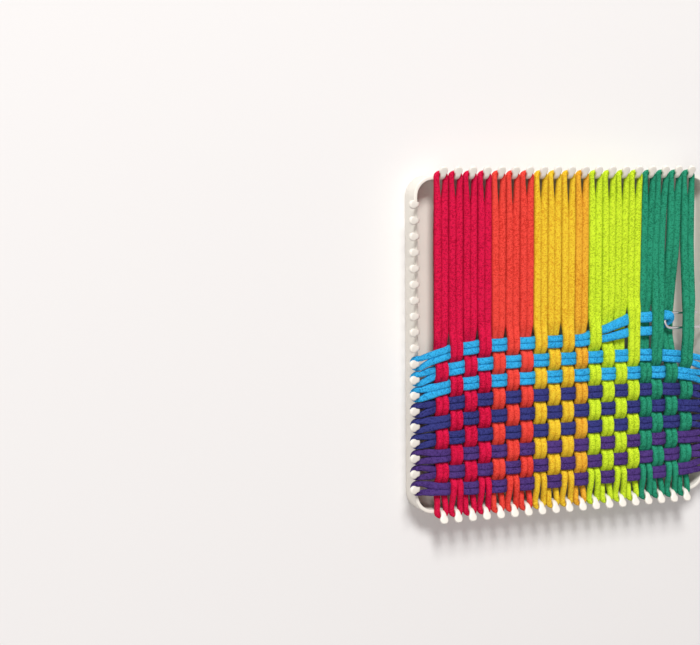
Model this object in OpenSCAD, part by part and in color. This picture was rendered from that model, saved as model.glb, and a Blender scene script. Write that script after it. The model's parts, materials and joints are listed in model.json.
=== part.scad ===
/* [Frame] */
// Pegs along each side
peg_count = 19; // [17:2:23]
// Distance from peg to peg
peg_pitch = 7.8; // [7.8:0.05:8.6]
// From the last peg of a side to the outer face round the corner
corner_run = 13.7; // [13:0.1:18]
// Outer radius of the corners
corner_r = 10; // [6:0.5:13]
// Thickness of the steel sheet
sheet_t = 1.8; // [1.4:0.1:2]
// Height of the rim, where the pegs start
rim_z = 12.5; // [11:0.5:20]
// Width of the base flange inside the wall
flange_w = 13; // [8:0.5:14]

/* [Pegs] */
// Width of a peg's neck, where a loop bears on it
peg_w = 1.9; // [1.7:0.1:2.3]
// Straight foot of a peg above the rim
peg_foot = 1.7; // [1.6:0.1:2.4]
// Inner radius of a peg's outward bend
peg_bend_r = 1.5; // [1.2:0.1:2.2]
// Angle by which a peg leans outward
peg_lean = 70; // [50:1:72]
// From the end of the bend to the middle of the head
peg_reach = 2.2; // [1.8:0.1:3]
// Diameter of a peg's round head
head_d = 4; // [3.4:0.1:4.6]

/* [Loops] */
// Rows of loops woven across so far
row_count = 9; // [9:1:9]
// Width of one leg of a loop where it lies free
leg_w = 3.1; // [2.8:0.05:3.15]
// Width of one leg where a peg squeezes it
leg_tight = 2.45; // [1.8:0.05:2.5]
// Gap between the two legs of a loop
leg_gap = 0.2; // [0.15:0.05:0.3]
// Thickness of a leg
loop_t = 1.8; // [1.4:0.1:1.8]
// Room between a loop and the peg or rim that it bears on
loop_room = 0.3; // [0.2:0.05:0.3]
// Height that the weave moves a leg up or down
wave = 1.5; // [1.45:0.05:1.7]
// How far the middle of the first row bows up
first_bow = -2.2; // [-2.4:0.1:0]
// How far the middle of the last row bows up
last_bow = 7.5; // [7:0.1:8]
// How far the last warp loops but one are drawn in at the middle
draw_in = 2.4; // [0:0.1:2.6]
// How much wider the last row's legs lie near the hook, where they are loose
loose_w = 2.2; // [0:0.1:2.2]

/* [Hook] */
// Diameter of the hook's wire
wire_d = 1.6; // [1.4:0.1:1.8]
// Length of the straight shaft outside the frame
shaft_out = 42; // [35:1:90]
// Length of the handle's long loop
handle_l = 46; // [30:1:70]
// Width of the handle's loop between wire centres
handle_w = 15.6; // [10:0.2:20]
// How far the crook's tip reaches back past its bend
tip_l = 15; // [8:1:17]

/* [Hidden] */
function warp_name(i) = str("warp_loop_", i < 10 ? "0" : "", i);
function weft_name(k) = str("weft_loop_", k);

$fn = 48;

// Frame: half its outer and inner width
half_out = (peg_count - 1) / 2 * peg_pitch + corner_run;
half_in = half_out - sheet_t;

// The origin is on the table, under the middle of the front rail's flange
base_y = half_out - (sheet_t + flange_w) / 2;

// Height of the weave's middle, the dip of a loop's end behind its peg, and half the flat stretch
// over or under a crossing
weave_z = rim_z + loop_room + loop_t / 2;
end_dip = 0.5;
flat_half = 3.05;

// Half widths of a loop and of its slot, free and at a peg
free_half = leg_w + leg_gap / 2;
free_slot = leg_gap / 2;
peg_slot = peg_w / 2 + loop_room / 2;
peg_half = peg_slot + leg_tight;

// Along a loop: where the legs close, where they are parallel again at the peg, and the end
close_at = half_in - 11.5;
peg_at = half_in - 1;
slot_end = half_out + loop_room / 2;
loop_end = slot_end + leg_tight;
tail = [loop_end + 1, weave_z - end_dip];

// How far past the last row a warp loop is level again, by itself and near the hook
level_after = 12;
level_after_hook = 45;

// Crook of the hook: its arms run through two notches of the right rail
crook_row = row_count + 1;
crook_r = peg_pitch / 2;
crook_y = place(crook_row) + peg_pitch;
hook_z = weave_z;
wire_room = 0.2;
crook_gap = 0.7;
hook_drop = 1.2;
eye_t = 1.2;
eye_step = 1.1;
eye_half = 2.2;
eye_lift = wire_d / 2 + wire_room + eye_t / 2;
crook_dip = wire_d / 2 + 2 * wire_room + eye_t + loop_t / 2;
crook_lift = wire_d / 2 + 1.5 * wire_room + loop_t / 2;
crook_flat = crook_r + wire_d / 2 + 2 * wire_room;

// Place of peg or loop i along its side
function place(i) = (i - (peg_count + 1) / 2) * peg_pitch;

// The last row misses one loop, so its overs and unders change there, and it climbs right of the middle
missed_loop = 13;
climb_from = 4;
climb_over = 38;
function row_over(i, k) = (k == row_count && i > missed_loop) ? i % 2 == 0 : (i + k) % 2 == 0;

// Bow of a warp loop towards the left, and of a row upwards
function drawn(i) = i == peg_count ? 0 : max(0, draw_in - 0.5 * (peg_count - 1 - i));
function bow(k) = first_bow + (last_bow - first_bow) * (k - 1) / (row_count - 1);
function fade(u, power) = 1 - pow(min(1, abs(u) / peg_at), power);
function ease(t) = t <= 0 ? 0 : t >= 1 ? 1 : t * t * (3 - 2 * t);

// Last row: it climbs on to the hook
hook_climb = crook_y - hook_drop - place(row_count) - bow(row_count);
function warp_x(i, y) = place(i) - drawn(i) * fade(y, 2);
function row_y(k, x) =
    k < row_count ? place(k) + bow(k) * fade(x, 5)
    : place(k) + bow(k) * (x < 0 ? fade(x, 5) : 1) + hook_climb * ease((x - climb_from) / climb_over);

// Where loop i and row k cross
function cross_y(i, k) = row_y(k, warp_x(i, row_y(k, place(i))));
function cross_x(i, k) = warp_x(i, cross_y(i, k));

// Outline of a loop from above, along u, with its middle line at v(u)
function half_width(u) =
    abs(u) <= close_at ? free_half
    : free_half + (peg_half - free_half) * min(1, (abs(u) - close_at) / (peg_at - close_at));
function half_slot(u) =
    abs(u) <= close_at ? free_slot
    : free_slot + (peg_slot - free_slot) * min(1, (abs(u) - close_at) / (peg_at - close_at));
stations = concat(
    [-peg_at],
    [for (i = [1:peg_count]) place(i)],
    [peg_at]
);
function reversed(list) = [for (i = [len(list) - 1:-1:0]) list[i]];

// Section of a loop along its length: a list of [u, height] made into a band
function band(line, t) = concat(
    [for (p = line) [p[0], p[1] + t / 2]],
    [for (p = reversed(line)) [p[0], p[1] - t / 2]]
);

// Flat stretch of a leg over or under a crossing at c
function crest(c, z, half) = [[c - half, z], [c + half, z]];

module rounded_square(half, r) {
    hull_free = half - r;
    square([2 * half, 2 * hull_free], center = true);
    square([2 * hull_free, 2 * half], center = true);
    for (x = [-1, 1], y = [-1, 1])
        translate([x * hull_free, y * hull_free]) circle(r);
}

// One peg at the right rail: a stem bent outward, narrow at its neck, with a round head
module peg() {
    steps = 5;
    head_part = 0.42;
    inner = [for (s = [0:steps])
        [half_out + peg_bend_r * (1 - cos(peg_lean * s / steps)),
         rim_z + peg_foot + peg_bend_r * sin(peg_lean * s / steps)]];
    outer = [for (s = [0:steps])
        [half_out + peg_bend_r - (peg_bend_r + sheet_t) * cos(peg_lean * s / steps),
         rim_z + peg_foot + (peg_bend_r + sheet_t) * sin(peg_lean * s / steps)]];
    way = [sin(peg_lean), cos(peg_lean)] * peg_reach;
    middle = (inner[steps] + outer[steps]) / 2 + way;
    intersection() {
        rotate([90, 0, 0])
            linear_extrude(height = head_d, center = true)
                polygon(concat(
                    [[half_out, rim_z - 1]],
                    inner,
                    [inner[steps] + way, outer[steps] + way],
                    reversed(outer),
                    [[half_in, rim_z - 1]]
                ));
        linear_extrude(height = middle[1] + head_d)
            polygon([
                [half_in - 1, -peg_w / 2], [half_out, -peg_w / 2],
                [middle[0], -head_part * head_d], [middle[0] + head_d, -head_part * head_d],
                [middle[0] + head_d, head_part * head_d], [middle[0], head_part * head_d],
                [half_out, peg_w / 2], [half_in - 1, peg_w / 2]
            ]);
    }
    translate([middle[0], 0, middle[1]])
        rotate([0, peg_lean - 90, 0])
            cylinder(d = head_d, h = sheet_t, center = true);
}

module loom_frame() {
    color("ivory") union() {
        linear_extrude(height = rim_z) difference() {
            rounded_square(half_out, corner_r);
            rounded_square(half_in, corner_r - sheet_t);
        }
        linear_extrude(height = sheet_t) difference() {
            rounded_square(half_out - sheet_t / 2, corner_r - sheet_t / 2);
            rounded_square(half_in - flange_w, 3);
        }
        for (side = [0:3], i = [1:peg_count])
            rotate([0, 0, 90 * side]) translate([0, place(i), 0]) peg();
    }
}

// A loop between two pegs: its outline from above, cut with its wave from the side
module loop_plan(middle, loose) {
    wide = [for (u = stations) half_width(u) + (abs(u) < peg_at ? loose * ease((u - climb_from) / climb_over) : 0)];
    difference() {
        polygon(concat(
            [[-loop_end, middle[0] - peg_slot], [-slot_end, middle[0] - peg_half]],
            [for (j = [0:len(stations) - 1]) [stations[j], middle[j] - wide[j]]],
            [[slot_end, middle[len(stations) - 1] - peg_half],
             [loop_end, middle[len(stations) - 1] - peg_slot],
             [loop_end, middle[len(stations) - 1] + peg_slot],
             [slot_end, middle[len(stations) - 1] + peg_half]],
            [for (j = [len(stations) - 1:-1:0]) [stations[j], middle[j] + wide[j]]],
            [[-slot_end, middle[0] + peg_half], [-loop_end, middle[0] + peg_slot]]
        ));
        polygon(concat(
            [[-slot_end, middle[0] - peg_slot]],
            [for (j = [0:len(stations) - 1]) [stations[j], middle[j] - half_slot(stations[j])]],
            [[slot_end, middle[len(stations) - 1] - peg_slot],
             [slot_end, middle[len(stations) - 1] + peg_slot]],
            [for (j = [len(stations) - 1:-1:0]) [stations[j], middle[j] + half_slot(stations[j])]],
            [[-slot_end, middle[0] + peg_slot]]
        ));
    }
}

module woven_loop(middle, line, loose = 0) {
    reach = half_out + 20;
    intersection() {
        linear_extrude(height = weave_z + 20) loop_plan(middle, loose);
        rotate([90, 0, 0])
            linear_extrude(height = 2 * reach, center = true)
                polygon(band(line, loop_t));
    }
}

// A warp loop runs along Y, so its outline is turned a quarter
function warp_line(i) = concat(
    [[-tail[0], tail[1]], [-peg_at, weave_z]],
    [for (k = [1:row_count])
        for (p = crest(
            cross_y(i, k),
            weave_z + (k == row_count && i >= peg_count - 2
                ? (row_over(i, k) ? -crook_dip : crook_lift)
                : (row_over(i, k) ? -wave : wave)),
            k == row_count && i >= peg_count - 1 ? crook_flat : flat_half)) p],
    [[cross_y(i, row_count) + (i >= peg_count - 2 ? level_after_hook : level_after), weave_z],
     [peg_at, weave_z], tail]
);

module warp_loop(i) {
    color(i <= 4 ? "crimson" : i <= 7 ? "tomato" : i <= 11 ? "gold" : i <= 15 ? "greenyellow" : "seagreen")
        rotate([0, 0, 90])
            woven_loop([for (s = stations) -warp_x(i, s)], warp_line(i));
}

// A row runs along X
function row_line(k) = concat(
    [[-tail[0], tail[1]], [-peg_at, weave_z]],
    [for (i = [1:peg_count])
        for (p = crest(cross_x(i, k), weave_z + (row_over(i, k) ? wave : -wave), flat_half)) p],
    [[peg_at, weave_z], tail]
);

module weft_loop(k) {
    color(k <= 3 ? "rebeccapurple" : k <= 6 ? "darkslateblue" : "deepskyblue")
        woven_loop([for (s = stations) row_y(k, s)], row_line(k));
}

// Crook: its bend lies over the last warp loop but one, just right of the loop before
crook_x = warp_x(peg_count - 2, crook_y) + free_half + crook_gap + wire_d / 2 + crook_r;
join_x = warp_x(peg_count - 2, crook_y) - 1;
eye_x = crook_x - sqrt(pow(crook_r - wire_d / 2, 2) - pow(eye_half, 2)) + wire_room;

// One leg of the last row where it meets the crook, from its height there: [x, height, thickness]
module eye_leg(low, high, line) {
    translate([0, crook_y + high, weave_z])
        rotate([90, 0, 0])
            linear_extrude(height = high - low)
                polygon(concat(
                    [for (p = line) [p[0], p[1] + p[2] / 2]],
                    [for (p = reversed(line)) [p[0], p[1] - p[2] / 2]]
                ));
}

// The last row: a loop whose right end is caught round the hook's crook
module caught_loop(k) {
    middle = [for (s = stations) row_y(k, s)];
    edge_x = warp_x(peg_count - 2, crook_y) + free_half;
    eye_end = eye_x + eye_t;
    color("deepskyblue") union() {
        difference() {
            woven_loop(middle, row_line(k), loose_w);
            translate([join_x, -half_out, 0]) cube([2 * half_out, 2 * half_out, 2 * weave_z]);
        }
        eye_leg(leg_gap / 2, eye_half, [
            [join_x - 1, -wave, loop_t], [join_x + 1, -wave, loop_t], [edge_x - eye_step, -wave / 2, eye_t],
            [edge_x + eye_step, eye_lift, eye_t], [eye_end, eye_lift, eye_t]
        ]);
        eye_leg(-eye_half, -leg_gap / 2, [
            [join_x - 1, -wave, loop_t], [join_x + 1, -wave, loop_t],
            [edge_x, -eye_lift, eye_t], [eye_end, -eye_lift, eye_t]
        ]);
        eye_leg(-eye_half, eye_half, [
            [eye_x, 0, 2 * eye_lift + eye_t], [eye_end, 0, 2 * eye_lift + eye_t]
        ]);
    }
}

// Points along an arc round a centre, from an angle over a turn
function arc(at, r, from, turn, steps) =
    [for (s = [0:steps]) at + r * [cos(from + turn * s / steps), sin(from + turn * s / steps)]];

// A round wire that lies flat along a path, with rounded ends
wire_sides = 12;
function unit(v) = v / norm(v);
function heading(path, j) = unit(path[min(j + 1, len(path) - 1)] - path[max(j - 1, 0)]);
function rounded_end(at, way, r, angles) = [for (a = angles) [at + r * sin(a) * way, way, r * cos(a)]];
module wire(path, d, z) {
    last = len(path) - 1;
    rings = concat(
        rounded_end(path[0], heading(path, 0), d / 2, [-75, -45, -20]),
        [for (j = [0:last]) [path[j], heading(path, j), d / 2]],
        rounded_end(path[last], heading(path, last), d / 2, [20, 45, 75])
    );
    points = [for (q = rings, s = [0:wire_sides - 1])
        let (a = 360 * s / wire_sides)
        [q[0][0] - q[1][1] * q[2] * cos(a), q[0][1] + q[1][0] * q[2] * cos(a), z + q[2] * sin(a)]];
    faces = concat(
        [[for (s = [0:wire_sides - 1]) s]],
        [for (j = [0:len(rings) - 2], s = [0:wire_sides - 1])
            let (n = (s + 1) % wire_sides, b = j * wire_sides, t = b + wire_sides)
            [b + s, t + s, t + n, b + n]],
        [[for (s = [wire_sides - 1:-1:0]) (len(rings) - 1) * wire_sides + s]]
    );
    polyhedron(points, faces);
}

// One wire: crook, shaft and a drop-shaped handle whose end stops just short of the shaft
module pull_hook() {
    shaft_y = crook_y - crook_r;
    tip = [crook_x + tip_l, crook_y + crook_r];
    neck = [half_out + shaft_out, shaft_y];
    ring_r = handle_w / 2;
    ring = neck + [handle_l - ring_r, 0];
    splay = asin(ring_r / (handle_l - ring_r));
    neck_r = 3.5 * wire_d;
    wire_end = neck + 1.3 * wire_d / sin(2 * splay) * [cos(splay), sin(splay)];
    color("silver") wire(concat(
        [tip],
        arc([crook_x, crook_y], crook_r, 90, 180, 12),
        arc(neck - [neck_r * tan(splay / 2), neck_r], neck_r, 90, -splay, 3),
        arc(ring, ring_r, -90 - splay, 180 + 2 * splay, 16),
        [wire_end]
    ), wire_d, hook_z);
}

translate([0, base_y, 0]) {
    loom_frame();
    for (i = [1:peg_count])
        warp_loop(i);
    for (k = [1:row_count - 1])
        weft_loop(k);
    caught_loop(row_count);
    pull_hook();
}
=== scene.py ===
# %% [markdown]
# # A potholder loom with its loops and hook
#
# The object is a small steel frame with a row of bent pegs on each side. Cotton loops are stretched
# from the lower pegs to the upper ones, and more loops are woven across them with a wire hook.
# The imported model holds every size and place, so this script reads it first and dresses it.

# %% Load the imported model
import json
import math
import random

import bpy
import numpy as np
from mathutils import Matrix, Vector

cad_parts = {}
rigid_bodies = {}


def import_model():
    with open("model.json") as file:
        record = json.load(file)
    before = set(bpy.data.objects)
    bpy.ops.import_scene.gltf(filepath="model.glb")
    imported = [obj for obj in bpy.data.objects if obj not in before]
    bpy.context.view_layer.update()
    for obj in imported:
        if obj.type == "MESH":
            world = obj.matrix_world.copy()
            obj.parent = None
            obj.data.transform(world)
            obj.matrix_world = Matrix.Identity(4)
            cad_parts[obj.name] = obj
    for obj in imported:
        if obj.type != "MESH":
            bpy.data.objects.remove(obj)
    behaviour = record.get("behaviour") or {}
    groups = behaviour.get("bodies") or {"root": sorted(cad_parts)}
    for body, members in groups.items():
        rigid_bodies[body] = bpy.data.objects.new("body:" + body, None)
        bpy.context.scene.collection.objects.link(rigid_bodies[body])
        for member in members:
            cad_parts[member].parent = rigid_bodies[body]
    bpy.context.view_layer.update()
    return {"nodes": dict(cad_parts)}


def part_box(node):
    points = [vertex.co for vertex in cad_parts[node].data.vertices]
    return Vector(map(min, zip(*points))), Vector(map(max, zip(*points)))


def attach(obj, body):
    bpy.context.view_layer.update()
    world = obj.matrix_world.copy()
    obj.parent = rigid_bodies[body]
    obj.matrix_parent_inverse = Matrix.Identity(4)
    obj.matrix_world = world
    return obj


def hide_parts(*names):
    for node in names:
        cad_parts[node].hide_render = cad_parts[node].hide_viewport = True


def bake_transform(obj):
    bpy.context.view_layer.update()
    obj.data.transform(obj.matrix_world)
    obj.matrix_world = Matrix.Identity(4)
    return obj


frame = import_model()
mm = 0.001

# %% [markdown]
# ## Sizes
#
# The loom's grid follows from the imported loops: the middle of one upright loop to the next is the
# pitch of the pegs. It could be typed in, but read from the model it can't drift away from it. The
# other sizes are the frame's own, in millimetres made metres.

# %% Sizes of the frame and its pegs
def middle_x(node):
    lo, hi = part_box(node)
    return (lo[0] + hi[0]) / 2


peg_count = 19
row_count = 9
pitch = middle_x("warp_loop_02") - middle_x("warp_loop_01")
corner_run = 13.7 * mm
sheet = 1.8 * mm
rim_z = 12.5 * mm
corner_r = 10 * mm
half_out = (peg_count - 1) / 2 * pitch + corner_run
half_in = half_out - sheet
loop_room, band_half = 0.3 * mm, 0.9 * mm
weave_z = rim_z + loop_room + band_half
frame_lo, frame_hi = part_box("loom_frame")
centre = Vector(((frame_lo[0] + frame_hi[0]) / 2, (frame_lo[1] + frame_hi[1]) / 2, 0))
print("pitch", round(pitch / mm, 3), "mm, frame", round(2 * half_out / mm, 2), "mm wide")


# %% [markdown]
# ## Where the loops run
#
# On a real loom a loop is stretched, so it runs as straight as the loops that it crosses let it.
# Upright loops near the right are drawn in a little, and each row bows up towards the open end because
# the weave has not been pushed down. The last row climbs on to the hook. The lines could be drawn by
# hand as curves, but there are 28 of them. Formulas are shorter, and the same formulas shaped the
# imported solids, so each dressed loop lies on its own solid.

# %% Middle lines of the loops
draw_in = 2.4 * mm
draw_step = 0.5 * mm
bow_first, bow_last = -2.2 * mm, 7.5 * mm
missed_loop = 13  # the last row passes over this loop and the next one together
climb_from, climb_over = 4 * mm, 38 * mm
hook_drop = 1.2 * mm
peg_at = half_in - 1 * mm


def place(i):
    """Where peg i of a side stands, from the middle of the side."""
    return (i - (peg_count + 1) / 2) * pitch


crook_r = pitch / 2
crook_y = place(row_count + 1) + pitch


def fade(u, power):
    """1 in the middle of a loop and 0 at its pegs."""
    return 1 - np.minimum(1, np.abs(u) / peg_at) ** power


def ease(t):
    """From 0 to 1 with a soft start and a soft end."""
    t = np.clip(t, 0, 1)
    return t * t * (3 - 2 * t)


def loose(x):
    """How far the last row has climbed on to the hook, from 0 to 1."""
    return ease((x - climb_from) / climb_over)


def bow(k):
    return bow_first + (bow_last - bow_first) * (k - 1) / (row_count - 1)


def warp_x(i, y):
    drawn = 0 if i == peg_count else max(0, draw_in - draw_step * (peg_count - 1 - i))
    return place(i) - drawn * fade(y, 2)


def row_y(k, x):
    if k < row_count:
        return place(k) + bow(k) * fade(x, 5)
    rise = crook_y - hook_drop - place(k) - bow(k)
    return place(k) + bow(k) * np.where(x < 0, fade(x, 5), 1) + rise * loose(x)


def row_over(i, k):
    """Whether row k passes over upright loop i."""
    return i % 2 == 0 if k == row_count and i > missed_loop else (i + k) % 2 == 0


def cross_y(i, k):
    """How far up loop i meets row k."""
    return float(row_y(k, warp_x(i, row_y(k, place(i)))))


def cross_x(i, k):
    """How far right row k meets loop i."""
    return float(warp_x(i, cross_y(i, k)))


print("row 9 meets loop 16 at", [round(v / mm, 1) for v in (cross_x(16, 9), cross_y(16, 9))])

# %% [markdown]
# ## Camera, floor and light
#
# The camera stands where the photograph's view puts it: above and to the left. Its place and turn were
# found by matching the peg heads with the photograph, and its focal length is in the photograph's
# pixels. The floor is plain and pale. A soft lamp stands beyond the far rail, so the shadow falls
# under the near one, and a weaker and wider lamp fills from the left.
#
# The room's own light is even and faintly pink. Rays from the camera and from gloss see the room
# brighter than it shines. A low view then has a pale background and the wire has something pale to
# mirror, without more light on the loom.

# %% Small helpers for objects
def nothing_selected():
    bpy.ops.object.select_all(action="DESELECT")


def only(obj):
    nothing_selected()
    obj.select_set(True)
    bpy.context.view_layer.objects.active = obj


# %% Camera
camera_at = Vector((-351.6, 79.7, 659.3)) * mm
camera_axis = (0.2589, 0.9637, 0.0674)
camera_turn = -0.3604
photo_width = 700
focal_pixels = 1430.5

bpy.ops.object.camera_add(location=camera_at + centre)
camera = bpy.context.object
camera.rotation_mode = "AXIS_ANGLE"
camera.rotation_axis_angle = (camera_turn, *camera_axis)
camera.data.sensor_width = 36
camera.data.lens = camera.data.sensor_width * focal_pixels / photo_width
camera.data.clip_start = 0.02
bpy.context.scene.camera = camera
print("lens", round(camera.data.lens, 2), "mm")

# %% Floor
floor_wide = 30
bpy.ops.mesh.primitive_plane_add(size=floor_wide)
floor = bpy.context.object
floor.name = "floor"
floor_finish = bpy.data.materials.new("floor")
floor_finish.use_nodes = True
shader = floor_finish.node_tree.nodes["Principled BSDF"]
shader.inputs["Base Color"].default_value = (0.81, 0.8, 0.785, 1)
shader.inputs["Roughness"].default_value = 0.9
floor.data.materials.append(floor_finish)
print("floor", floor_wide, "m wide")

# %% Light
def soft_lamp(name, at, size, power):
    bpy.ops.object.light_add(type="AREA", location=Vector(at) + centre)
    lamp = bpy.context.object
    lamp.name = name
    lamp.data.size = size
    lamp.data.energy = power
    lamp.rotation_mode = "QUATERNION"
    lamp.rotation_quaternion = (-Vector(at)).to_track_quat("-Z", "Y")
    print(name, power, "W,", round(Vector(at).length, 2), "m away")


soft_lamp("key_lamp", (-0.6, 2.1, 2.1), 0.8, 83)
soft_lamp("fill_lamp", (-1.6, -0.5, 2.4), 1.5, 16)

# %% The room's light
room_shines, room_seen = 0.34, 0.7
world = bpy.data.worlds.new("room")
world.use_nodes = True
nodes, link = world.node_tree.nodes, world.node_tree.links.new
sky = nodes["Background"]
sky.inputs["Color"].default_value = (1, 0.91, 0.91, 1)
rays = nodes.new("ShaderNodeLightPath")
seen = nodes.new("ShaderNodeMath")
seen.operation = "MAXIMUM"
level = nodes.new("ShaderNodeMapRange")
level.inputs["To Min"].default_value = room_shines
level.inputs["To Max"].default_value = room_seen
link(rays.outputs["Is Camera Ray"], seen.inputs[0])
link(rays.outputs["Is Glossy Ray"], seen.inputs[1])
link(seen.outputs[0], level.inputs["Value"])
link(level.outputs["Result"], sky.inputs["Strength"])
bpy.context.scene.world = world
bpy.context.scene.view_settings.view_transform = "Standard"
print("the room shines at", room_shines, "and is seen at", room_seen)

# %% [markdown]
# ## Finishes
#
# The frame has a cream powder coat, which is plastic sprayed on as dust and baked, so it is smooth with
# a faint orange peel. The wire is bright steel with fine lines along its length, from being drawn
# through a die. The loops are matt knitted cotton with loose fibres. Pictures of such surfaces could
# be wrapped round the pieces, but patterns made by nodes stay sharp from close by and need no file.

# %% Helper for node trees
class Tree:
    """A new material, to which each node is added and linked in one line."""

    def __init__(self, name):
        self.material = bpy.data.materials.new(name)
        self.material.use_nodes = True
        self.nodes = self.material.node_tree.nodes
        self.links = self.material.node_tree.links
        self.shader = self.nodes["Principled BSDF"]

    def add(self, kind, **inputs):
        node = self.nodes.new(kind)
        for key, value in inputs.items():
            self.feed(node.inputs[key.replace("_", " ")], value)
        return node

    def feed(self, socket, value):
        if hasattr(value, "is_output"):
            self.links.new(value, socket)
        else:
            socket.default_value = value

    def math(self, kind, *values):
        node = self.nodes.new("ShaderNodeMath")
        node.operation = kind
        for socket, value in zip(node.inputs, values):
            self.feed(socket, value)
        return node.outputs[0]

    def noise(self, vector, scale, detail=2.0, rough=0.5):
        node = self.add("ShaderNodeTexNoise", Scale=scale, Detail=detail, Roughness=rough, Vector=vector)
        return node.outputs["Fac"]

    def ramp(self, factor, low, high, colours):
        node = self.nodes.new("ShaderNodeValToRGB")
        node.color_ramp.elements[0].position = low
        node.color_ramp.elements[1].position = high
        for element, colour in zip(node.color_ramp.elements, colours):
            element.color = (*colour, 1)
        self.feed(node.inputs["Fac"], factor)
        return node.outputs["Color"]

    def bump(self, height, strength, distance):
        node = self.add("ShaderNodeBump", Strength=strength, Distance=distance, Height=height)
        self.feed(self.shader.inputs["Normal"], node.outputs["Normal"])


def linear(colour):
    """A colour of 0 to 255 a channel as the linear light that shaders take."""
    return tuple((c / 255 / 12.92) if c < 10 else ((c / 255 + 0.055) / 1.055) ** 2.4 for c in colour)


def shade(colour, factor):
    return tuple(min(1, c * factor) for c in colour)


# %% Powder coat on steel
def powder_coat():
    tree = Tree("powder_coat")
    place_at = tree.add("ShaderNodeTexCoord").outputs["Object"]
    cream = linear((238, 233, 222))
    cloud = tree.noise(place_at, 60, 3)
    tree.feed(tree.shader.inputs["Base Color"], tree.ramp(cloud, 0.3, 0.7, (shade(cream, 0.95), cream)))
    gloss = tree.noise(place_at, 900, 2)
    tree.feed(tree.shader.inputs["Roughness"], tree.math("MULTIPLY_ADD", gloss, 0.16, 0.3))
    tree.shader.inputs["Coat Weight"].default_value = 0.25
    tree.shader.inputs["Coat Roughness"].default_value = 0.25
    orange_peel = tree.noise(place_at, 1400, 1)
    tree.bump(orange_peel, 0.12, 0.2 * mm)
    return tree.material


# %% Drawn steel wire
def drawn_wire():
    tree = Tree("drawn_wire")
    along = tree.add("ShaderNodeUVMap").outputs["UV"]
    stretch = tree.add("ShaderNodeMapping", Vector=along, Scale=(40, 3, 1)).outputs["Vector"]
    lines = tree.noise(stretch, 6, 3)
    dull, bright = (0.6, 0.6, 0.62), (0.88, 0.88, 0.89)
    tree.feed(tree.shader.inputs["Base Color"], tree.ramp(lines, 0.3, 0.7, (dull, bright)))
    tree.shader.inputs["Metallic"].default_value = 1
    tree.feed(tree.shader.inputs["Roughness"], tree.math("MULTIPLY_ADD", lines, 0.16, 0.16))
    tree.bump(lines, 0.1, 0.1 * mm)
    return tree.material


# %% The knit's relief
stitch_length = 0.93 * mm
stitch_columns = 12


def knit_relief(tree, place_at, length):
    """Columns of V-shaped stitches that drift a little, with loose fibres on them."""
    drift = tree.noise(place_at, 700, 2)
    parts = tree.add("ShaderNodeSeparateXYZ", Vector=tree.add("ShaderNodeUVMap").outputs["UV"])
    columns = tree.math("MULTIPLY", parts.outputs["X"], stitch_columns)
    courses = tree.math("MULTIPLY", parts.outputs["Y"], length / stitch_length)
    across = tree.math("MULTIPLY_ADD", drift, 0.5, columns)
    along = tree.math("MULTIPLY_ADD", drift, 1.4, courses)
    from_middle = tree.math("ABSOLUTE", tree.math("SUBTRACT", tree.math("FRACT", across), 0.5))
    slant = tree.math("MULTIPLY_ADD", from_middle, 1.2, along)
    yarn = tree.math("ABSOLUTE", tree.math("SINE", tree.math("MULTIPLY", slant, math.pi)))
    rounding = tree.math("SINE", tree.math("MULTIPLY", from_middle, 2 * math.pi))
    rounding = tree.math("MULTIPLY_ADD", rounding, 0.6, 0.4)
    stitch = tree.math("MULTIPLY", tree.math("POWER", yarn, 0.6), rounding)
    fibre = tree.noise(place_at, 2400, 3, 0.75)
    return tree.math("MULTIPLY_ADD", fibre, 1.1, tree.math("MULTIPLY", stitch, 0.8))


# %% The knit's painted shade and dye
def knit_shade_and_dye(tree, place_at, relief):
    """Hollows get painted shade, the dye is uneven, and single fibres get painted glints and painted
    shade.
    """
    patch = tree.noise(place_at, 260, 2)
    dye = tree.noise(place_at, 38, 1)
    # Fibre-sized cells lighter or darker at random: painted glints and painted shade on single fibres.
    fibre_glint_and_shade = tree.add("ShaderNodeTexVoronoi", Scale=1750, Vector=place_at).outputs["Color"]
    fibre_glint_and_shade = tree.add("ShaderNodeSeparateColor", Color=fibre_glint_and_shade).outputs["Red"]
    # The relief's low places, the hollows between stitches, get painted shade; the patches vary at
    # random.
    shade_and_dye = tree.math("MULTIPLY_ADD", patch, 0.2, tree.math("MULTIPLY", relief, 0.4))
    return tree.math("MULTIPLY_ADD", fibre_glint_and_shade, 0.55, tree.math("MULTIPLY_ADD", dye, 0.3, shade_and_dye))


# %% Knitted cotton
def knitted_cotton(name, rgb, length):
    tree = Tree(name)
    colour = linear(rgb)
    place_at = tree.add("ShaderNodeTexCoord").outputs["Object"]
    relief = knit_relief(tree, place_at, length)
    # The dark end of the ramp carries the painted shade of the hollows and the dark dye, the light end
    # the painted fibre glints and the light dye.
    deep = tuple(c * (0.48 + 0.36 * c) for c in colour)
    light = tuple(min(1, c * 1.3 + 0.01) for c in colour)
    shade_and_dye = tree.ramp(knit_shade_and_dye(tree, place_at, relief), 0.62, 1.14, (deep, light))
    tree.feed(tree.shader.inputs["Base Color"], shade_and_dye)
    tree.shader.inputs["Roughness"].default_value = 0.92
    tree.shader.inputs["Specular IOR Level"].default_value = 0.1
    tree.shader.inputs["Sheen Weight"].default_value = 0.08
    tree.shader.inputs["Sheen Roughness"].default_value = 0.6
    tree.shader.inputs["Sheen Tint"].default_value = (*light, 1)
    tree.bump(relief, 0.7, 0.5 * mm)
    return tree.material


# %% [markdown]
# ## Sweeping a band along a line
#
# A loop is a soft flat tube, and the hook is a wire. Both could be curves with a bevel, but a bevel
# keeps the shape of its section all the way, and a loop is flat in its middle and round at a peg. So
# each starts as a flat grid whose long side follows the line and whose short side goes round the
# section. Moving the grid's points to their places keeps its UV map, so the knit always runs along
# the loop. Where the section or the line closes, the grid's edges are welded.

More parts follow.
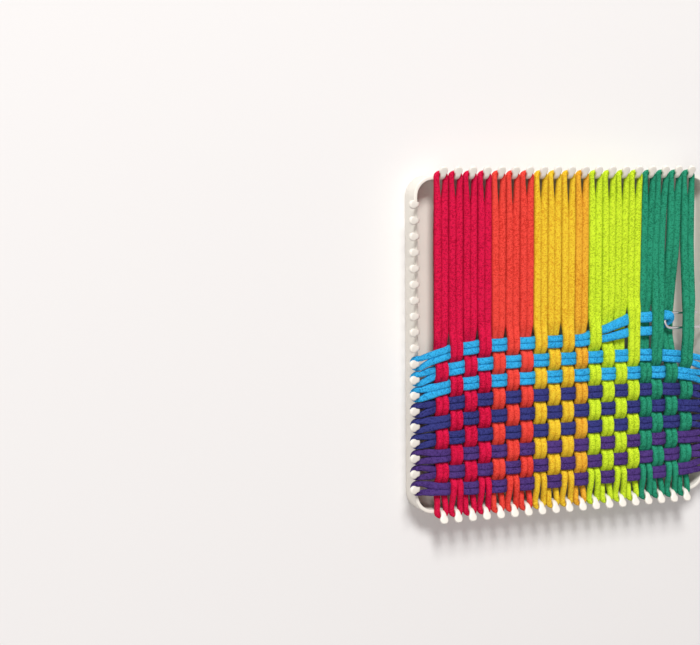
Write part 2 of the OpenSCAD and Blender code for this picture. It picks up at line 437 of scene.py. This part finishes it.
# %% Frames along a line
up = np.array((0.0, 0.0, 1.0))


def rows_unit(v):
    return v / np.linalg.norm(v, axis=1, keepdims=True)


def spaced(points, count, closed, *others):
    """The line again with points at even steps, and other values carried along."""
    line = np.vstack([points, points[:1]]) if closed else points
    at = np.concatenate([[0], np.cumsum(np.linalg.norm(np.diff(line, axis=0), axis=1))])
    want = np.linspace(0, at[-1], count + 1)
    new = np.stack([np.interp(want, at, line[:, c]) for c in range(3)], axis=1)
    carried = [np.interp(want, at, np.append(o, o[0]) if closed else o) for o in others]
    return (new, at[-1], *carried)


def frames(line, closed):
    """Sideways and upward directions of the band at each point, with no sudden turn."""
    if closed:
        ahead = rows_unit(np.roll(line[:-1], -1, axis=0) - np.roll(line[:-1], 1, axis=0))
        ahead = np.vstack([ahead, ahead[:1]])
    else:
        ahead = rows_unit(np.gradient(line, axis=0))
    side = np.zeros_like(line)
    last = np.cross(up, ahead[0])
    for j, way in enumerate(ahead):
        flat = np.cross(up, way)
        level = math.sqrt(max(0.0, 1 - way[2] ** 2))
        carried = last - way * np.dot(last, way)
        carried /= np.linalg.norm(carried)
        if level > 0.5:
            flat /= np.linalg.norm(flat)
            sign = 1 if np.dot(flat, carried) >= 0 else -1
            carried = carried * (1 - level) + sign * flat * level
            carried /= np.linalg.norm(carried)
        side[j] = carried
        last = carried
    return ahead, side, rows_unit(np.cross(ahead, side))


# %% The sweep
weld_gap = 0.01 * mm


def sweep(name, line, half_wide, half_thick, around, closed, squareness=1.0, relief=None):
    rings = len(line) - 1
    ahead, side, top = frames(line, closed)
    nothing_selected()
    bpy.ops.mesh.primitive_grid_add(x_subdivisions=around, y_subdivisions=rings, size=1)
    piece = bpy.context.object
    piece.name = name
    piece.data.name = name
    count = len(piece.data.vertices)
    flat = np.empty(count * 3)
    piece.data.vertices.foreach_get("co", flat)
    flat = flat.reshape(-1, 3)
    across = np.rint((flat[:, 0] + 0.5) * around).astype(int)
    along = np.rint((flat[:, 1] + 0.5) * rings).astype(int)
    angle = 2 * math.pi * across / around
    c, s = np.cos(angle), np.sin(angle)
    wide = np.sign(c) * np.abs(c) ** squareness * half_wide[along]
    tall = np.sign(s) * np.abs(s) ** squareness * half_thick[along]
    if relief is not None:
        swell = 1 + relief(across, along)
        wide, tall = wide * swell, tall * swell
    there = np.array(centre) + line[along] + side[along] * wide[:, None] + top[along] * tall[:, None]
    piece.data.vertices.foreach_set("co", there.ravel())
    piece.data.update()
    bpy.ops.object.mode_set(mode="EDIT")
    bpy.ops.mesh.select_all(action="SELECT")
    bpy.ops.mesh.remove_doubles(threshold=weld_gap)
    bpy.ops.mesh.normals_make_consistent(inside=False)
    bpy.ops.object.mode_set(mode="OBJECT")
    bpy.ops.object.shade_smooth()
    return piece


# %% [markdown]
# ## One cotton loop
#
# Each loop goes round a peg at both ends, where it is squeezed thin, and its two legs lie side by side
# between them. Along the weave it goes over and under, so its height is eased from one crossing to the
# next. A cloth simulation could stretch such rings too, but the pegs and the crossings already say
# where a loop lies, and a formula keeps 28 of them from cutting through each other. A little seeded
# unevenness keeps them from looking like copies.

# %% Size of a leg and its place at the pegs
woven_half_wide = 1.65 * mm
free_half_wide = 1.88 * mm
leg_half_thick = 1.45 * mm
leg_press = 0.07 * mm
peg_half = 0.95 * mm
peg_gap = 0.12 * mm
tight_half = 1.3 * mm
peg_side = peg_half + peg_gap + tight_half
turn_from = half_out - 0.4 * mm
turn_reach = 1.8 * mm
end_dip = 0.4 * mm
wave = 1.56 * mm
settle = 9 * mm
leg_points = 520
loop_rings = 1152
loop_around = 24
print("the legs of a loop pass a peg at", round(peg_side / mm, 2), "mm from its middle")


def spread(u, close):
    """0 where the legs lie side by side, 1 where they pass a peg."""
    open_at = half_in - 0.5 * mm
    return np.clip((np.abs(u) - close) / (open_at - close), 0, 1) ** 1.25


def squeeze(u, close):
    """0 where a leg lies free, 1 where a peg squeezes it."""
    return ease((np.abs(u) - close) / (half_in - close))


def heights(knots, u):
    """Eased height between knots (u, z)."""
    at = np.array([k[0] for k in knots])
    z = np.array([k[1] for k in knots])
    j = np.clip(np.searchsorted(at, u) - 1, 0, len(at) - 2)
    t = np.clip((u - at[j]) / (at[j + 1] - at[j]), 0, 1)
    return z[j] + (z[j + 1] - z[j]) * t * t * (3 - 2 * t)


def crests(crossings, flat=1.1 * mm):
    """Two knots at each crossing, so that a leg lies level for a moment there."""
    knots = []
    for at, z in crossings:
        knots += [(at - flat, z), (at + flat, z)]
    return knots


# %% A leg and a turn round a peg
def leg(middle, knots, side, u, close, free):
    """Columns: place x, y, z, then half the width and half the thickness."""
    plump = woven_half_wide + (free_half_wide - woven_half_wide) * free
    apart = plump - leg_press
    v = middle(u) + side * (apart + (peg_side - apart) * spread(u, close))
    z = weave_z + heights(knots, u)
    tight = squeeze(u, close)
    wide = plump + (tight_half - plump) * tight
    thick = leg_half_thick + (tight_half - leg_half_thick) * tight
    return np.stack([u, v, z, wide, thick], axis=1)


def peg_turn(middle, end, steps=14):
    """Half an ellipse round the peg at the right end (1) or the left end (-1)."""
    a = np.linspace(-math.pi / 2, math.pi / 2, steps + 2)[1:-1] * end
    u = end * (turn_from + turn_reach * np.cos(a))
    v = middle(end * half_out) + peg_side * np.sin(a)
    z = np.full_like(u, weave_z) - end_dip * np.cos(a)
    half = np.full_like(u, tight_half)
    return np.stack([u, v, z, half, half], axis=1)


def both_legs(middle, knots, seed, woven_from, woven_to, opening):
    """The whole line of a loop between two pegs. Each end opens at its own distance from its peg.

    A leg swells to its free width after the last crossing, and quickly before the first one."""
    dice = random.Random(seed)
    u = np.linspace(-turn_from, turn_from, leg_points)
    near = [half_in - dice.uniform(*opening) * mm for _ in range(2)]
    close = near[0] + (near[1] - near[0]) * (u > 0)
    free = ease((u - woven_to - 3 * mm) / (9 * mm)) + ease((woven_from - 2 * mm - u) / (4 * mm))
    return np.vstack([leg(middle, knots, -1, u, close, free), peg_turn(middle, 1),
                      leg(middle, knots, 1, u[::-1], close[::-1], free[::-1]), peg_turn(middle, -1)])


def uneven(seed, count, size, waves=(2, 3, 5, 9, 14)):
    """A sum of waves with seeded starts, the same at both ends of a closed line."""
    dice = random.Random(seed)
    t = np.linspace(0, 2 * math.pi, count)
    total = np.zeros(count)
    for w in waves:
        total += math.sqrt(1 / w) * np.sin(w * t + dice.uniform(0, 2 * math.pi))
    return size * total


# %% Stitches raised on the band
rings_per_stitch = 3


def stitches(across, along):
    """A column of stitches is two points wide, and its two sides slant to a V."""
    lean = np.where(across % 2 == 0, 0.0, 0.4)
    beat = np.cos(2 * math.pi * (along / rings_per_stitch + lean))
    return 0.03 * beat + np.where(across % 2 == 0, 0.012, -0.012)


# %% A whole loop
def cotton_loop(name, path, seed):
    """The path's columns are x, y, z, half the width and half the thickness."""
    line, length, wide, thick = spaced(path[:, :3], loop_rings, True, path[:, 3], path[:, 4])
    free = np.clip((thick - tight_half) / (leg_half_thick - tight_half), 0, 1)
    _, side, top = frames(line, True)
    aside = uneven(seed, len(line), 0.09 * mm) * free
    lift = uneven(seed + 100, len(line), 0.05 * mm) * free
    line = line + side * aside[:, None] + top * lift[:, None]
    swell = 1 + uneven(seed + 200, len(line), 0.02, (11, 17, 29, 41)) * free
    return sweep(name, line, wide * swell, thick * swell, loop_around, True, 0.6, stitches), length


# %% [markdown]
# ## The upright loops
#
# Nineteen loops go from the lower pegs to the upper ones, and their colours run from red to green, a
# few loops of each. They could be copies of one loop, but each meets the bowed rows at other places.
# So each is swept by itself. Its path is laid out along X, as a row's is, and then turned a quarter.

# %% Colours of the upright loops
warp_colours = [
    (4, "cotton_crimson", (208, 4, 64)),
    (7, "cotton_orange_red", (242, 68, 56)),
    (10, "cotton_yellow", (250, 192, 44)),
    (11, "cotton_amber", (246, 172, 46)),
    (15, "cotton_lime", (200, 228, 42)),
    (19, "cotton_teal", (34, 142, 108)),
]
finishes = {}


def finish_for(number, colours, length):
    name, rgb = next((n, c) for last, n, c in colours if number <= last)
    if name not in finishes:
        finishes[name] = knitted_cotton(name, rgb, length)
    return name, finishes[name]


# %% Upright loops
crook_dip = 4.15 * mm
crook_lift = 2.6 * mm
shove = 1.1 * mm
stays_by = 4.2 * mm


def shoved(i, y):
    """The hook shoves the loop before its crook to the left, and the loop under it to the right."""
    return {peg_count - 2: -shove, peg_count - 1: shove}.get(i, 0) * fade(y, 2)


def warp_height(i, k):
    if k == row_count and i >= peg_count - 2:
        return -crook_dip if row_over(i, k) else crook_lift
    return -wave if row_over(i, k) else wave


def upright_loop(i):
    knots = crests([(cross_y(i, k), warp_height(i, k)) for k in range(1, row_count + 1)])
    beside = stays_by * float(loose(place(i)))  # it stays up or down for longer at the loose legs
    knots = knots[:-2] + [(knots[-2][0] - beside, knots[-2][1]), (knots[-1][0] + beside, knots[-1][1])]
    first, last = knots[0][0], knots[-1][0]
    level_after = 40 * mm if i >= peg_count - 2 else 10 * mm
    knots = [(first - settle, 0)] + knots + [(last + level_after, 0)]

    def middle(u):
        return -warp_x(i, u) - shoved(i, u)

    path = both_legs(middle, knots, 30 + i, -half_out, cross_y(i, row_count), (13, 23))
    path[:, 0], path[:, 1] = -path[:, 1], path[:, 0].copy()
    name = f"warp_loop_{i:02d}"
    piece, length = cotton_loop(f"{name}_knit", path, 10 + i)
    slot, finish = finish_for(i, warp_colours, length)
    piece.data.materials.append(finish)
    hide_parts(name)
    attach(piece, "loom")
    return length


for i in range(1, peg_count + 1):
    loop_length = upright_loop(i)
print("an upright loop is", round(loop_length / 2 / mm), "mm long when stretched")

# %% [markdown]
# ## The woven rows
#
# Eight rows lie between the left and the right pegs. Each goes over one upright loop and under the
# next, and its neighbour does the opposite. A pattern painted on a flat plate would look like it from
# above, but here every row is a ring of its own that can be seen to dive, so its heights follow from
# the crossings.

# %% Woven rows
row_colours = [
    (3, "cotton_purple", (76, 50, 120)),
    (6, "cotton_navy", (50, 54, 122)),
    (9, "cotton_light_blue", (46, 168, 222)),
]


def dress_row(k, path):
    name = f"weft_loop_{k}"
    piece, length = cotton_loop(f"{name}_knit", path, 50 + k)
    slot, finish = finish_for(k, row_colours, length)
    piece.data.materials.append(finish)
    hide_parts(name)
    return piece


def row_knots(k, last):
    knots = crests([(cross_x(i, k), wave if row_over(i, k) else -wave) for i in range(1, last + 1)])
    return [(knots[0][0] - settle, 0)] + knots


def woven_row(k):
    knots = row_knots(k, peg_count)
    knots.append((knots[-1][0] + settle, 0))

    def middle(u):
        return row_y(k, u)

    path = both_legs(middle, knots, 60 + k, warp_x(1, 0), warp_x(peg_count, 0), (5, 8))
    piece = dress_row(k, path)
    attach(piece, "loom")


for k in range(1, row_count):
    woven_row(k)
print("rows woven:", row_count - 1)

# %% [markdown]
# ## The last row, caught on the hook
#
# The ninth row has come as far as the last loop but one. Its upper leg passes over the hook's wire,
# turns down inside the crook and comes back under the wire as the lower leg, so the wire holds it. Its
# legs lie loose and wide there. The turn has no formula, so its points are listed one by one and their
# corners are cut until they are smooth.

# %% The row on the hook
wire_half = 0.8 * mm
loop_half, crook_gap = 3.2 * mm, 0.7 * mm
crook_left = warp_x(peg_count - 2, crook_y) + loop_half + crook_gap
crook_x = float(crook_left) + wire_half + crook_r
legs_end = crook_x - 9.4 * mm
legs_apart = 1.8 * mm
upper_swell, lower_swell = 0.9 * mm, 0.5 * mm
caught_leg_points = 560
points_to_turn = 8

# Each point is a place from the crook's middle, then half the width and thickness, in millimetres.
bight = [
    (-7.4, 2.6, -1.45, 2.6, 1.2), (-6.2, 2.8, -0.6, 2.6, 1.05), (-5.3, 3.0, 0.45, 2.6, 1.0),
    (-4.5, 3.1, 1.45, 2.6, 1.0), (-3.4, 3.1, 2.1, 2.5, 1.0), (-2.4, 2.9, 2.15, 2.3, 1.0),
    (-1.4, 2.1, 1.95, 2.0, 0.95), (-0.9, 0.8, 1.25, 1.75, 0.85), (-1.0, -0.5, 0.35, 1.5, 0.8),
    (-1.7, -1.5, -0.75, 1.1, 0.75), (-2.9, -2.2, -1.75, 1.15, 0.7), (-4.5, -3.2, -1.9, 1.6, 0.75),
    (-6.8, -4.3, -1.75, 2.2, 0.9),
]


def cut_corners(points, times):
    """Each corner is replaced by two points, a quarter along both of its sides."""
    for _ in range(times):
        inner = [np.stack([0.75 * a + 0.25 * b, 0.25 * a + 0.75 * b]) for a, b in zip(points, points[1:])]
        points = np.vstack([points[:1], *inner, points[-1:]])
    return points


def caught_row(k):
    knots = row_knots(k, peg_count - 2)[:-1] + [(legs_end + 1 * mm, -wave)]

    def middle(u):
        return row_y(k, u)

    def loose_leg(side, swell, u):
        opens_at = half_in - 7 * mm
        points = leg(middle, knots, side, u, opens_at, loose(u))
        points[:, 1] += side * legs_apart * loose(u)
        points[:, 3] += swell * loose(u)
        return points

    u = np.linspace(-turn_from, legs_end, caught_leg_points)
    high, low = loose_leg(1, upper_swell, u), loose_leg(-1, lower_swell, u[::-1])
    at_crook = np.array([crook_x, crook_y, weave_z, 0, 0])
    n = points_to_turn
    end = np.vstack([high[-n:1 - n], at_crook + np.array(bight) * mm, low[n - 1:n]])
    path = np.vstack([high[:-n], cut_corners(end, 4), low[n:], peg_turn(middle, -1)])
    piece = dress_row(k, path)
    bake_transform(piece)


caught_row(row_count)
print("the crook is at x =", round(crook_x / mm, 1), "mm")

# %% [markdown]
# ## The hook
#
# The hook is one steel wire: a crook, a long shaft and a drop-shaped handle. It could be a curve drawn
# by hand, but a wire that was bent round pins is made of straight runs and arcs, and so is this line.
# The wire is swept along it as the loops are. The ends are rounded by shrinking the last rings, and
# the small holes that they leave are filled.

# %% Line of the wire
shaft_out = 42 * mm
handle_long = 46 * mm
handle_half = 7.8 * mm
tip_long = 15 * mm


def arc(x, y, radius, start, turn, steps):
    a = np.radians(start + turn * np.linspace(0, 1, steps + 1))
    return [(x + radius * math.cos(t), y + radius * math.sin(t)) for t in a]


def hook_line():
    """Tip, crook, shaft, neck and handle, whose end stops just short of the shaft."""
    shaft_y = crook_y - crook_r
    neck_x = half_out + shaft_out
    reach = handle_long - handle_half
    splay = math.asin(handle_half / reach)
    degrees = math.degrees(splay)
    bend = 7 * wire_half
    back = 2.6 * wire_half / math.sin(2 * splay)
    flat = [(crook_x + tip_long, crook_y + crook_r)]
    flat += arc(crook_x, crook_y, crook_r, 90, 180, 36)
    flat += arc(neck_x - bend * math.tan(splay / 2), shaft_y - bend, bend, 90, -degrees, 8)
    flat += arc(neck_x + reach, shaft_y, handle_half, -90 - degrees, 180 + 2 * degrees, 60)
    flat += [(neck_x + back * math.cos(splay), shaft_y + back * math.sin(splay))]
    return np.array([(x, y, weave_z) for x, y in flat])


# %% The wire
wire_rings, wire_around = 700, 20


def pull_hook():
    line, length = spaced(hook_line(), wire_rings, False)
    ahead = rows_unit(np.gradient(line, axis=0))
    ends = np.radians([90, 72, 54, 36, 18])
    before = [line[0] - ahead[0] * wire_half * math.sin(a) for a in ends]
    after = [line[-1] + ahead[-1] * wire_half * math.sin(a) for a in ends[::-1]]
    thin = [wire_half * max(0.02, math.cos(a)) for a in ends]
    line = np.vstack([before, line, after])
    half = np.concatenate([thin, np.full(len(line) - 2 * len(thin), wire_half), thin[::-1]])
    piece = sweep("pull_hook_wire", line, half, half, wire_around, False)
    bpy.ops.object.mode_set(mode="EDIT")
    bpy.ops.mesh.select_all(action="DESELECT")
    bpy.ops.mesh.select_non_manifold()
    bpy.ops.mesh.edge_face_add()
    bpy.ops.object.mode_set(mode="OBJECT")
    piece.data.materials.append(drawn_wire())
    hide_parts("pull_hook")
    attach(piece, "hook")
    return length


print("wire length", round(pull_hook() / mm), "mm")

# %% [markdown]
# ## The steel frame
#
# The frame is pressed from one steel sheet and coated, so no edge on it is sharp. It could be modelled
# from a cube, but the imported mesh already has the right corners, so a copy of it is the safer start.
# The copy is cut off just under the rim, which takes the pegs away, and its rim is closed again. It
# gets a hollow between wall and flange, a round foot outside and softly rolled edges elsewhere.

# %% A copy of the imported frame, without pegs
touch = 0.02 * mm
below_rim = 0.5 * mm


def merged_copy(node, name):
    source = frame["nodes"][node]
    only(source)
    bpy.ops.object.duplicate()
    copy = bpy.context.object
    copy.name = name
    bpy.ops.object.parent_clear(type="CLEAR_KEEP_TRANSFORM")
    bpy.ops.object.transform_apply(location=True, rotation=True, scale=True)
    bpy.ops.object.mode_set(mode="EDIT")
    bpy.ops.mesh.select_all(action="SELECT")
    bpy.ops.mesh.remove_doubles(threshold=0.005 * mm)
    bpy.ops.object.mode_set(mode="OBJECT")
    return copy


def cut_off_pegs(piece):
    cut_z = rim_z - below_rim
    bpy.ops.object.mode_set(mode="EDIT")
    bpy.ops.mesh.select_all(action="SELECT")
    bpy.ops.mesh.bisect(plane_co=(0, 0, cut_z), plane_no=(0, 0, 1), clear_outer=True)
    bpy.ops.mesh.select_all(action="SELECT")
    bpy.ops.mesh.dissolve_limited(angle_limit=math.radians(1))
    bpy.ops.mesh.select_all(action="DESELECT")
    bpy.ops.mesh.select_mode(type="EDGE")
    bpy.ops.mesh.select_non_manifold()
    bpy.ops.mesh.bridge_edge_loops()
    bpy.ops.object.mode_set(mode="OBJECT")
    for point in piece.data.vertices:
        if abs(point.co.z - cut_z) < touch:
            point.co.z = rim_z


# %% Rounding chosen edges
def bevel_edges(piece, wanted, width, segments):
    """Select the edges whose two ends pass the test, and round them."""
    bpy.ops.object.mode_set(mode="EDIT")
    bpy.ops.mesh.select_mode(type="EDGE")
    bpy.ops.mesh.select_all(action="DESELECT")
    bpy.ops.object.mode_set(mode="OBJECT")
    points = piece.data.vertices
    count = 0
    for edge in piece.data.edges:
        edge.select = all(wanted(points[v].co - centre) for v in edge.vertices)
        count += edge.select
    bpy.ops.object.mode_set(mode="EDIT")
    bpy.ops.mesh.bevel(offset=width, segments=segments, affect="EDGES")
    bpy.ops.object.mode_set(mode="OBJECT")
    return count


def from_centre(co, half, r):
    """Distance of a point from the outline of a rounded square, less than 0 inside it."""
    x, y = abs(co.x) - (half - r), abs(co.y) - (half - r)
    return math.hypot(max(x, 0), max(y, 0)) + min(max(x, y), 0) - r


# %% The tray, with a hollow and a foot
hollow_r, foot_r, edge_r = 2.2 * mm, 0.8 * mm, 0.4 * mm


def past_inner_wall(co):
    return from_centre(co, half_in, corner_r - sheet)


def in_hollow(co):
    return abs(co.z - sheet) < touch and abs(past_inner_wall(co)) < 0.1 * mm


def at_foot(co):
    return abs(co.z) < touch and past_inner_wall(co) > 0


steel = merged_copy("loom_frame", "loom_frame_coated")
cut_off_pegs(steel)
hollow = bevel_edges(steel, in_hollow, hollow_r, 5)
foot = bevel_edges(steel, at_foot, foot_r, 3)
print("edges in the hollow and at the foot:", hollow, foot)

# %% The tray's other edges
only(steel)
bpy.ops.object.modifier_add(type="BEVEL")
soften = steel.modifiers[-1]
soften.width = edge_r
soften.segments = 3
soften.angle_limit = math.radians(35)
bpy.ops.object.modifier_apply(modifier=soften.name)
bpy.ops.object.shade_smooth_by_angle(angle=math.radians(40))
print("tray faces", len(steel.data.polygons))

# %% [markdown]
# ## The pegs
#
# A peg is a tongue of the same sheet, cut out with a round head and bent outward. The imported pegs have
# many narrow faces round their bends, on which a bevel leaves creases. So a new peg is swept along the
# same middle line, with a rounded section whose width follows the tongue's outline. The coating
# makes its head a little wider. One peg is made lying on its side, turned upright, and copied to its
# 76 places.

# %% One peg
peg_foot = 1.7 * mm
peg_bend_r = 1.5 * mm
peg_lean = math.radians(70)
peg_reach = 2.2 * mm
packed_head_r = 2 * mm
head_r = 2.2 * mm
peg_root = 1 * mm
tip_round = 0.5 * mm
peg_rings, peg_around, peg_squareness = 48, 16, 0.55


def one_peg():
    turn = peg_bend_r + sheet / 2
    a = np.linspace(0, peg_lean, 14)
    out = np.concatenate([[half_out - sheet / 2] * 2, half_out + peg_bend_r - turn * np.cos(a)])
    high = np.concatenate([[rim_z - peg_root, rim_z], rim_z + peg_foot + turn * np.sin(a)])
    tip = peg_reach + packed_head_r
    out = np.append(out, out[-1] + tip * math.sin(peg_lean))
    high = np.append(high, high[-1] + tip * math.cos(peg_lean))
    line, length = spaced(np.stack([out, high, 0 * out], axis=1), peg_rings, False)
    at = np.linspace(0, length, len(line))
    head_at = length - head_r
    round_head = np.sqrt(np.maximum(0, head_r ** 2 - (at - head_at) ** 2))
    tongue = np.interp(at, [0, 3 * mm, head_at], [peg_half, peg_half, 0.8 * head_r])
    wide = np.where(at > head_at, round_head, np.maximum(tongue, round_head))
    near_tip = np.maximum(0, (at - length) / tip_round + 1)
    thick = sheet / 2 * np.sqrt(np.clip(1 - near_tip ** 2, 0, 1))
    wide[0] = thick[0] = 0
    peg = sweep("peg", line, thick, wide, peg_around, False, peg_squareness)
    to_middle = Matrix.Translation(centre)
    peg.data.transform(to_middle @ Matrix.Rotation(math.pi / 2, 4, "X") @ to_middle.inverted())
    return peg


# %% All pegs
first_peg = one_peg()
pegs = []
for side in range(4):
    for i in range(1, peg_count + 1):
        only(first_peg)
        bpy.ops.object.duplicate()
        peg = bpy.context.object
        move = Matrix.Translation(centre) @ Matrix.Rotation(side * math.pi / 2, 4, "Z")
        peg.data.transform(move @ Matrix.Translation((0, place(i), 0)) @ Matrix.Translation(-centre))
        pegs.append(peg)
only(first_peg)
bpy.ops.object.delete()
print("pegs:", len(pegs))

# %% Tray and pegs in one piece
only(steel)
for peg in pegs:
    peg.select_set(True)
bpy.ops.object.join()
steel.data.materials.clear()
steel.data.materials.append(powder_coat())
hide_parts("loom_frame")
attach(steel, "loom")
print("frame faces", len(steel.data.polygons))
